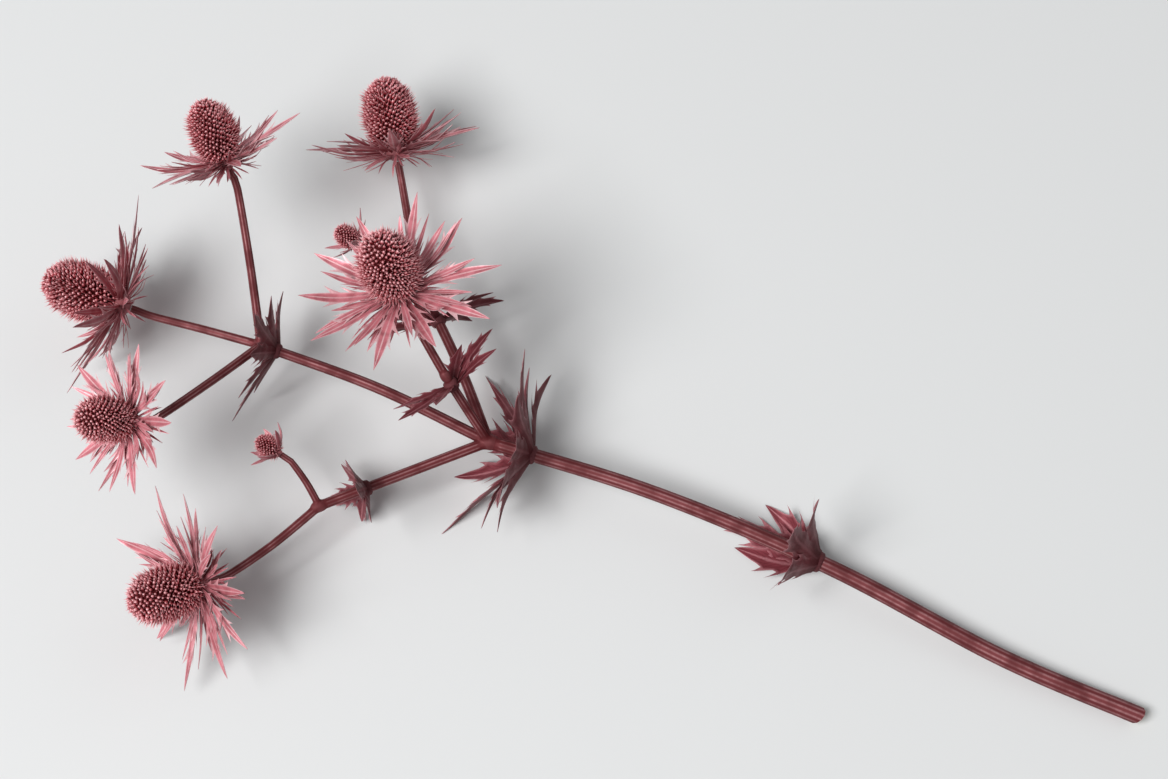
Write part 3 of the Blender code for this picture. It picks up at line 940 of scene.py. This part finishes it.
@dataclass(frozen=True)
class BractRuff:
    """The cup below a cone and its ruff: toothed bracts, narrower ones, and needles between."""

    name: str
    place: Matrix
    size: float
    seed: int
    neck_radius: float
    ranks: tuple[Rank, ...]
    fine_ranks: tuple[Rank, ...]

    def blades(self, ranks: tuple[Rank, ...], seed: int) -> list[Blade]:
        """The bracts of some rings, each varied by a seeded draw."""
        draw = random.Random(seed)
        tones = random.Random(seed + 900)
        made = []
        for rank in ranks:
            turn = draw.uniform(0, math.tau)
            root = (CUP_RADIUS * self.size * 0.66, -rank.root_depth * self.size)
            for k in range(rank.count):
                azimuth = turn + math.tau * (k + draw.uniform(-0.16, 0.16)) / rank.count
                length = rank.length * self.size * draw.uniform(0.86, 1.08)
                spans = (rank.root_rise, rank.tip_rise)
                rises = tuple(math.radians(draw.uniform(*span)) for span in spans)
                roll = draw.uniform(-0.45, 0.45)
                skew = draw.uniform(-0.035, 0.035)
                path = BladePath(self.place, azimuth, root, rises, length, roll)
                width, tooth = rank.width * self.size**0.5, rank.tooth * self.size**0.5
                teeth = rank.teeth + (rank.teeth == 2 and tones.random() < 0.5)
                chance = (tones.random(), tones.uniform(-0.12, 0.12))
                shape = {} if rank.teeth else NEEDLE
                made.append(Blade(path, width, tooth, teeth, skew, *chance, **shape))
        return made

    def cup_profile(self) -> list[Pair]:
        """Radius and height down the cup's outer side."""
        depth = CUP_DEPTH * self.size
        radius = CUP_RADIUS * self.size
        return [
            (radius, 0),
            (radius * 1.02, -0.28 * depth),
            (radius * 0.97, -0.45 * depth),
            (radius * 0.86, -0.62 * depth),
            (radius * 0.60, -0.78 * depth),
            (self.neck_radius + 0.14 * radius, -0.9 * depth),
            (self.neck_radius + 0.1 * MM, -depth),
        ]

    def build(self, finish: Material) -> Object:
        """Builds the ruff in the given material."""
        bm = marked_bmesh()
        add_turned(bm, self.place, self.cup_profile(), 28)
        for ranks, seed in ((self.ranks, self.seed), (self.fine_ranks, self.seed + 300)):
            for blade in self.blades(ranks, seed):
                blade.add_to(bm)
        return settle(self.name, bm, finish)


@dataclass(frozen=True)
class Head:
    """A flower head: its seat on the neck, the way it faces, its scale and its random seed."""

    name: str
    seat: tuple[float, float, float]
    facing: tuple[float, float, float]
    size: float
    seed: int

    def place(self) -> Matrix:
        """The head's frame: its seat, with +Z the way it faces."""
        return facing_frame(at(*self.seat), Vector(self.facing))


@dataclass(frozen=True)
class Whorl:
    """Leaves that clasp the stem in a sheath: three toothed lobes each."""

    name: str
    branch: str
    place_share: float
    azimuths: tuple[float, ...]
    length: float
    width: float
    rise: float
    seed: int
    spread_deg: float = 31
    side_length: float = 0.74
    tooth_share: float = 1.75
    sheath_length: float = 5 * MM
    sheath_wall: float = 1.1 * MM
    sheath_gap: float = 0.35 * MM

    def frame(self, stem: "Stem") -> tuple[Matrix, float]:
        """The sheath's frame on its branch, +Z the way the stem grows, and the stem's radius there."""
        branch = stem.branches[self.branch]
        line = smooth_line([at(*p) for p in branch.points], stem.plan_step)
        i = round(self.place_share * (len(line) - 2))
        share = (i + 0.5) / (len(line) - 1)
        middle = (line[i] + line[i + 1]) / 2
        radius = branch.first + (branch.last - branch.first) * share
        return facing_frame(middle, line[i + 1] - line[i]), radius

    def lobes(self, place: Matrix, bore: float) -> list[Blade]:
        """The lobes of the leaves round a sheath's bore, each varied by a seeded draw."""
        draw = random.Random(self.seed)
        tones = random.Random(self.seed + 900)
        made = []
        for azimuth_deg in self.azimuths:
            rise = math.radians(self.rise + draw.uniform(-7, 7))
            droop = math.radians(draw.uniform(-26, 4))
            reach = self.length * draw.uniform(0.9, 1.08)
            tone = tones.random()
            for lobe in (-1, 0, 1):
                azimuth = math.radians(azimuth_deg + lobe * self.spread_deg)
                length = reach * (1 if lobe == 0 else self.side_length * draw.uniform(0.9, 1.1))
                root = (bore + 0.35 * self.sheath_wall, lobe * 0.5 * MM)
                roll = draw.uniform(-0.3, 0.3)
                skew = draw.uniform(-0.03, 0.03)
                path = BladePath(place, azimuth, root, (rise, rise + droop), length, roll)
                tooth, teeth = self.width * self.tooth_share, 4 if lobe == 0 else 3
                chance = (tone, tones.uniform(-0.1, 0.1))
                made.append(Blade(path, self.width, tooth, teeth, skew, *chance, **LOBE))
        return made

    def build(self, stem: "Stem", finish: Material) -> Object:
        """Builds the whorl on its stem in the given material."""
        place, stem_radius = self.frame(stem)
        bore = stem_radius + self.sheath_gap
        bm = marked_bmesh()
        half = self.sheath_length / 2
        profile = [
            (bore * 0.95, half * 1.05),
            (bore + self.sheath_wall * 0.7, half * 0.8),
            (bore + self.sheath_wall, 0),
            (bore + self.sheath_wall * 0.7, -half * 0.7),
            (bore * 0.97, -half),
        ]
        add_turned(bm, place, profile, 28)
        for blade in self.lobes(place, bore):
            blade.add_to(bm)
        return settle(f"spiny_leaves_{self.name}", bm, finish)


@dataclass(frozen=True)
class Branch:
    """A stretch of stem: the points its middle runs through, in millimetres, and its end radii."""

    points: tuple[tuple[float, float, float], ...]
    first: float
    last: float


FORK = (0, 0, 25)
CENTRE_KNOT = (-112, 4, 38)
LEFT_KNOT = (-60, 64, 29)
RIGHT_KNOT = (-60, -56, 28)
UPPER_KNOT = (-24, 12, 56)

HEADS = (
    Head("1", (-182, 0, 40), (-0.97, -0.06, 0.22), 1.0, 11),
    Head("2", (-92, 120, 36), (-0.45, 0.74, 0.48), 0.95, 42),
    Head("3", (-96, -112, 37), (-0.56, -0.66, 0.50), 0.95, 13),
    Head("4", (-50, 28, 98), (-0.30, 0.16, 0.94), 1.0, 14),
    Head("5", (-150, 66, 86), (-0.55, 0.52, 0.65), 0.8, 15),
    Head("6", (-142, -64, 82), (-0.52, -0.46, 0.72), 0.76, 16),
)
BUDS = (
    Head("left", (-88, 62, 50), (-0.75, 0.05, 0.55), 0.36, 21),
    Head("right", (-84, -44, 46), (-0.80, 0.10, 0.45), 0.34, 22),
)
NECKS = {
    "1": (CENTRE_KNOT, (-140, 3, 36)),
    "2": (LEFT_KNOT, (-72, 86, 27)),
    "3": (RIGHT_KNOT, (-73, -80, 27)),
    "4": (UPPER_KNOT, (-36, 20, 68)),
    "5": (CENTRE_KNOT, (-126, 31, 58)),
    "6": (CENTRE_KNOT, (-122, -27, 56)),
    "left": (LEFT_KNOT, (-71, 63, 38)),
    "right": (RIGHT_KNOT, (-68, -50, 36)),
}
BRANCHES = {
    "stalk": Branch(
        ((318, -16, 3.8), (250, -12, 7), (165, 0, 13), (80, 4, 20), FORK),
        STALK_BUTT_RADIUS,
        STALK_FORK_RADIUS,
    ),
    "centre": Branch((FORK, (-55, 4, 34), CENTRE_KNOT), BRANCH_RADIUS * 1.15, BRANCH_RADIUS),
    "left": Branch((FORK, (-26, 30, 27), LEFT_KNOT), BRANCH_RADIUS * 1.1, BRANCH_RADIUS),
    "right": Branch((FORK, (-28, -26, 26), RIGHT_KNOT), BRANCH_RADIUS * 1.1, BRANCH_RADIUS),
    "upper": Branch((FORK, (-11, 5, 41), UPPER_KNOT), BRANCH_RADIUS, BRANCH_RADIUS * 0.9),
}
RUFF = (
    Rank(10, 44 * MM, 2.6 * MM, 5.4 * MM, 2, 1.6 * MM, (4, 12), (-4, 34)),
    Rank(8, 29 * MM, 1.6 * MM, 3.5 * MM, 1, 3.4 * MM, (-8, 2), (-14, 26)),
)
FINE_RUFF = (
    Rank(9, 36 * MM, 1.7 * MM, 3.3 * MM, 2, 0.6 * MM, (6, 20), (4, 46)),
    Rank(13, 33 * MM, 1.15 * MM, 2.3 * MM, 1, 2.4 * MM, (0, 16), (-6, 44)),
    Rank(22, 24 * MM, 0.75 * MM, 0, 0, 3.6 * MM, (-14, 14), (-24, 40)),
    Rank(16, 15 * MM, 0.6 * MM, 0, 0, 5.0 * MM, (-38, -5), (-50, 10)),
    Rank(22, 16 * MM, 0.5 * MM, 0, 0, 0.4 * MM, (12, 30), (16, 56)),
)
BUD_RUFF = (Rank(6, 40 * MM, 2.6 * MM, 4.9 * MM, 1, 2.0 * MM, (20, 30), (30, 62)),)
FINE_BUD_RUFF = (Rank(9, 24 * MM, 1.2 * MM, 0, 0, 3.0 * MM, (20, 40), (30, 60)),)
WHORLS = (
    Whorl("stalk", "stalk", 0.50, (80, 255), 56 * MM, 5.2 * MM, 34, 31),
    Whorl("fork", "stalk", 0.965, (40, 140, 215, 325), 52 * MM, 5.0 * MM, 20, 32),
    Whorl("centre", "centre", 0.93, (90, 210, 330), 34 * MM, 3.6 * MM, 16, 33),
    Whorl("left", "left", 0.90, (40, 200), 33 * MM, 3.6 * MM, 14, 34),
    Whorl("right", "right", 0.90, (70, 250), 33 * MM, 3.6 * MM, 14, 35),
    Whorl("upper", "upper", 0.80, (20, 190), 30 * MM, 3.4 * MM, 16, 36),
)


@dataclass(frozen=True)
class Stem:
    """The ridged stalk with its branches and necks, grown together and cut on a slant."""

    branches: dict[str, Branch]
    heads: tuple[Head, ...]
    buds: tuple[Head, ...]
    knot_swell: float = 1.26
    knot_length: float = 1.5
    weld: float = 0.004 * MM
    blend_reach: float = 7.5 * MM
    blend_rounds: int = 9
    cut_slant_deg: float = 32
    cut_back: float = 4 * MM
    ridge_share: float = 0.05
    plan_step: float = 14 * MM
    rind: float = 0.8 * MM
    pith_sink: float = 0.3 * MM

    def neck_line(self, head: Head) -> list[Vector]:
        """The middle of a head's neck, which meets the cup squarely."""
        knot, middle = NECKS[head.name]
        facing = Vector(head.facing).normalized()
        end = at(*head.seat) - facing * (CUP_DEPTH * head.size + SEAT_GAP)
        straight = end - facing * NECK_STRAIGHT
        before = end - facing * (NECK_STRAIGHT + 9 * MM * head.size)
        return smooth_line([at(*knot), at(*middle), before, straight], STEM_STEP) + [end]

    def tube(self, line: list[Vector], first: float, last: float, ridges: int) -> Object:
        """A ridged, tapering tube along a line.

        Args:
            line: The points of its middle.
            first: Its radius at the first point.
            last: Its radius at the last one.
            ridges: How many ridges run along it.

        Returns:
            The object.
        """
        bm = marked_bmesh()
        rows = len(line) - 1
        verts = append(bm, unit_tube(ridges * 4, rows))
        across = bm.verts.layers.float["across"]
        ends = [(line[max(i - 1, 0)], line[min(i + 1, rows)]) for i in range(rows + 1)]
        tangents = [(after - before).normalized() for before, after in ends]
        side = tangents[0].orthogonal().normalized()
        sides = []
        for tangent in tangents:
            side = (side - tangent * side.dot(tangent)).normalized()
            sides.append(side)
        for vert in verts:
            x, y, s = vert.co
            i = round(s * rows)
            angle = math.atan2(y, x)
            crest = 0.5 + 0.5 * math.cos(angle * ridges)
            radius = (first + (last - first) * s) * (1 + self.ridge_share * (crest - 0.7))
            up = tangents[i].cross(sides[i])
            vert.co = line[i] + (sides[i] * math.cos(angle) + up * math.sin(angle)) * radius
            vert[across] = crest
        bmesh.ops.recalc_face_normals(bm, faces=bm.faces)
        return bpy.data.objects.new("tube", to_mesh(bm, "tube"))

    def knot(self, point: Vector, along: Vector, radius: float) -> Object:
        """A swollen knot where branches meet, drawn out along the branch that ends in it."""
        bm = marked_bmesh()
        bmesh.ops.create_uvsphere(bm, u_segments=24, v_segments=16, radius=radius * self.knot_swell)
        bmesh.ops.scale(bm, vec=(1, 1, self.knot_length), verts=bm.verts)
        bmesh.ops.transform(bm, matrix=facing_frame(point, along), verts=bm.verts)
        across = bm.verts.layers.float["across"]
        for vert in bm.verts:
            vert[across] = 0.5
        return bpy.data.objects.new("knot", to_mesh(bm, "knot"))

    def build(self, bark: Material, pith: Material) -> Object:
        """Builds the stem, with one material on its outside and another on its cut end."""
        grown = bpy.data.collections.new("grown")
        bpy.context.scene.collection.children.link(grown)
        for name, branch in self.branches.items():
            line = smooth_line([at(*p) for p in branch.points], STEM_STEP)
            if name == "stalk":
                stem = self.tube(line, branch.first, branch.last, 11)
                butt, along = line[0], (line[0] - line[1]).normalized()
            else:
                grown.objects.link(self.tube(line, branch.first, branch.last, 9))
            grown.objects.link(self.knot(line[-1], line[-1] - line[-2], branch.last))
        for head in self.heads:
            grown.objects.link(self.tube(self.neck_line(head), BRANCH_RADIUS * 0.9, NECK_RADIUS, 8))
        for bud in self.buds:
            grown.objects.link(self.tube(self.neck_line(bud), NECK_RADIUS, NECK_RADIUS * 0.8, 7))
        stem.name = "ridged_stem"
        bpy.context.scene.collection.objects.link(stem)
        self.fuse(stem, grown)
        self.blend(stem)
        self.cut(stem, butt - along * self.cut_back, along)
        for finish in (bark, pith):
            stem.data.materials.append(finish)
        stem.data.shade_smooth()
        stem.data.set_sharp_from_angle(angle=math.radians(55))
        return stem

    def fuse(self, stem: Object, grown: Collection) -> None:
        """Joins the branches to the stalk with one Boolean, and removes them."""
        join = stem.modifiers.new("fuse", "BOOLEAN")
        join.operation = "UNION"
        join.operand_type = "COLLECTION"
        join.collection = grown
        join.solver = "MANIFOLD"
        graph = bpy.context.evaluated_depsgraph_get()
        mesh = bpy.data.meshes.new_from_object(stem.evaluated_get(graph))
        stem.modifiers.clear()
        mesh.materials.clear()
        stem.data = mesh
        for piece in list(grown.objects):
            bpy.data.objects.remove(piece)
        bpy.data.collections.remove(grown)

    def blend(self, stem: Object) -> None:
        """Smooths the creases round the knots, so that the branches grow out of them."""
        knots = [at(*branch.points[-1]) for branch in self.branches.values()]
        bm = bmesh.new()
        bm.from_mesh(stem.data)
        bmesh.ops.remove_doubles(bm, verts=bm.verts, dist=self.weld)

        def near(vert: BMVert, reach: float) -> bool:
            return any((vert.co - knot).length < reach for knot in knots)

        close = [e for e in bm.edges if all(near(v, self.blend_reach) for v in e.verts)]
        bmesh.ops.subdivide_edges(bm, edges=close, cuts=1, use_grid_fill=True)
        axes = {f"use_axis_{axis}": True for axis in "xyz"}
        for share in range(self.blend_rounds, 0, -1):
            reach = self.blend_reach * (0.55 + 0.45 * share / self.blend_rounds)
            held = [v for v in bm.verts if near(v, reach)]
            bmesh.ops.smooth_vert(bm, verts=held, factor=0.5, **axes)
        bm.to_mesh(stem.data)
        bm.free()

    def cut(self, stem: Object, point: Vector, along: Vector) -> None:
        """Cuts the stalk's end on a slant, and sinks the pith a little inside its rind.

        Args:
            stem: The stem.
            point: Where the cut crosses the stalk's middle.
            along: The way the stalk's end points.
        """
        slant = Matrix.Rotation(math.radians(self.cut_slant_deg), 3, "Y")
        bm = bmesh.new()
        bm.from_mesh(stem.data)
        bmesh.ops.remove_doubles(bm, verts=bm.verts, dist=MERGE_DISTANCE)
        whole = bm.verts[:] + bm.edges[:] + bm.faces[:]
        plane = {"plane_co": point, "plane_no": slant @ along}
        cut = bmesh.ops.bisect_plane(bm, geom=whole, clear_outer=True, **plane)
        rim = [e for e in cut["geom_cut"] if isinstance(e, BMEdge)]
        before = set(bm.faces)
        bmesh.ops.edgenet_fill(bm, edges=rim)
        bmesh.ops.recalc_face_normals(bm, faces=bm.faces)
        cap = [f for f in bm.faces if f not in before]
        for face in cap:
            face.material_index = 1
            face.smooth = False
        ring = bmesh.ops.inset_region(bm, faces=cap, thickness=self.rind, depth=0)["faces"]
        for face in ring:
            face.material_index = 1
        sunk = list({v for f in cap for v in f.verts})
        bmesh.ops.translate(bm, vec=-along * self.pith_sink, verts=sunk)
        bm.to_mesh(stem.data)
        bm.free()


@dataclass(frozen=True)
class Studio:
    """A pale floor, soft light from above and a camera that looks down on the stem."""

    floor_colour: str = "#DADBDB"
    floor_size: float = 12
    sky_colour: str = "#E6E8EA"
    sky_strength: float = 0.31
    lens_mm: float = 85
    sensor_mm: float = 36.0
    azimuth_deg: float = 20
    elevation_deg: float = 68
    margin: float = 1.04
    photo_width: int = 1168
    photo_height: int = 779

    def build_floor(self) -> None:
        """Lays the floor."""
        bm = bmesh.new()
        bmesh.ops.create_grid(bm, x_segments=1, y_segments=1, size=self.floor_size)
        floor = add_object("floor", to_mesh(bm, "floor"))
        board = {"Base Color": linear(self.floor_colour), "Roughness": 0.85}
        floor.data.materials.append(Paint("matt white board").coat(board))

    def build_lights(self) -> None:
        """Hangs a large soft light above, a lower fill, and a pale sky."""
        for name, place, size, watts in (
            ("key", (-1.35, -1.85, 3.3), 2.0, 168),
            ("fill", (2.2, 2.2, 2.7), 3.4, 15),
        ):
            lamp = bpy.data.lights.new(name, "AREA")
            lamp.size = size
            lamp.energy = watts
            self.aim(add_object(name, lamp), Vector(place), -Vector(place))
        world = bpy.data.worlds.new("sky")
        world.use_nodes = True
        sky = {"Color": linear(self.sky_colour), "Strength": self.sky_strength}
        feed(world.node_tree, world.node_tree.nodes["Background"], sky)
        bpy.context.scene.world = world

    def aim(self, obj: Object, place: Vector, way: Vector) -> None:
        """Puts a light or the camera in its place, looking a given way."""
        obj.location = place
        obj.rotation_mode = "QUATERNION"
        obj.rotation_quaternion = way.to_track_quat("-Z", "Y")

    def build_camera(self, points: list[Vector]) -> None:
        """Sets the camera so that the given points of the stem fill the photograph's frame."""
        azimuth, elevation = math.radians(self.azimuth_deg), math.radians(self.elevation_deg)
        level = math.cos(elevation)
        back = Vector((math.sin(azimuth) * level, -math.cos(azimuth) * level, math.sin(elevation)))
        turn = (-back).to_track_quat("-Z", "Y")
        right, up = turn @ Vector((1, 0, 0)), turn @ Vector((0, 1, 0))
        half_width = self.sensor_mm / 2 / self.lens_mm
        half_height = half_width * self.photo_height / self.photo_width
        middle = Vector()
        for axis in (right, up):
            reach = [point.dot(axis) for point in points]
            middle += axis * (min(reach) + max(reach)) / 2
        distance = 0.0
        for point in points:
            off = point - middle
            wide = max(abs(off.dot(right)) / half_width, abs(off.dot(up)) / half_height)
            distance = max(distance, wide * self.margin + point.dot(back))
        data = bpy.data.cameras.new("camera")
        data.lens = self.lens_mm
        data.sensor_width = self.sensor_mm
        camera = add_object("camera", data)
        self.aim(camera, middle + back * distance, -back)
        bpy.context.scene.camera = camera


@dataclass(frozen=True)
class SeaHolly:
    """The whole dressed stem."""

    stem: Stem = Stem(BRANCHES, HEADS, BUDS)

    def build(self) -> list[Object]:
        """Builds every piece, puts it in its node's place, and returns them all."""
        bract, leaf, floret = (dye.material() for dye in (BRACT_DYE, LEAF_DYE, FLORET_DYE))
        stem = self.stem.build(STEM_DYE.material(), CutPith().material())
        stand_for(stem, "stem")
        pieces = [stem]
        for head in HEADS:
            own = (head.place(), head.size, head.seed)
            pieces.append(FlowerCone(f"florets_{head.name}", *own).build(floret))
            stand_for(pieces[-1], f"flower_cone_{head.name}")
            ruff = BractRuff(f"bracts_{head.name}", *own, NECK_RADIUS, RUFF, FINE_RUFF)
            pieces.append(ruff.build(bract))
            stand_for(pieces[-1], f"bract_ruff_{head.name}")
        for bud in BUDS:
            pieces.append(self.build_bud(bud, bract, floret))
            stand_for(pieces[-1], f"side_bud_{bud.name}")
        for whorl in WHORLS:
            pieces.append(whorl.build(self.stem, leaf))
            stand_for(pieces[-1], f"leaf_whorl_{whorl.name}")
        return pieces

    def build_bud(self, bud: Head, bract: Material, floret: Material) -> Object:
        """Builds a closed side head: a small cone inside upright bracts, in one piece."""
        sunk = bud.place() @ Matrix.Translation((0, 0, -1.2 * MM))
        closed = FlowerCone("bud_florets", sunk, bud.size * 0.96, bud.seed).build(floret)
        own = (bud.place(), bud.size, bud.seed, NECK_RADIUS * 0.8)
        ruff = BractRuff(f"closed_head_{bud.name}", *own, BUD_RUFF, FINE_BUD_RUFF)
        piece = ruff.build(bract)
        piece.data.materials.append(floret)
        bm = bmesh.new()
        bm.from_mesh(piece.data)
        start = len(bm.faces)
        bm.from_mesh(closed.data)
        bm.faces.ensure_lookup_table()
        for face in bm.faces[start:]:
            face.material_index = 1
        bm.to_mesh(piece.data)
        bm.free()
        bpy.data.objects.remove(closed)
        return piece


def main() -> None:
    """Builds the dressed stem and its studio."""
    logging.basicConfig(level=logging.INFO, format="%(name)s %(message)s")
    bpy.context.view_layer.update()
    pieces = SeaHolly().build()
    studio = Studio()
    studio.build_camera([vert.co for piece in pieces for vert in piece.data.vertices])
    studio.build_floor()
    studio.build_lights()
    bpy.context.scene.view_settings.view_transform = "Standard"


if __name__ == "__main__":
    main()
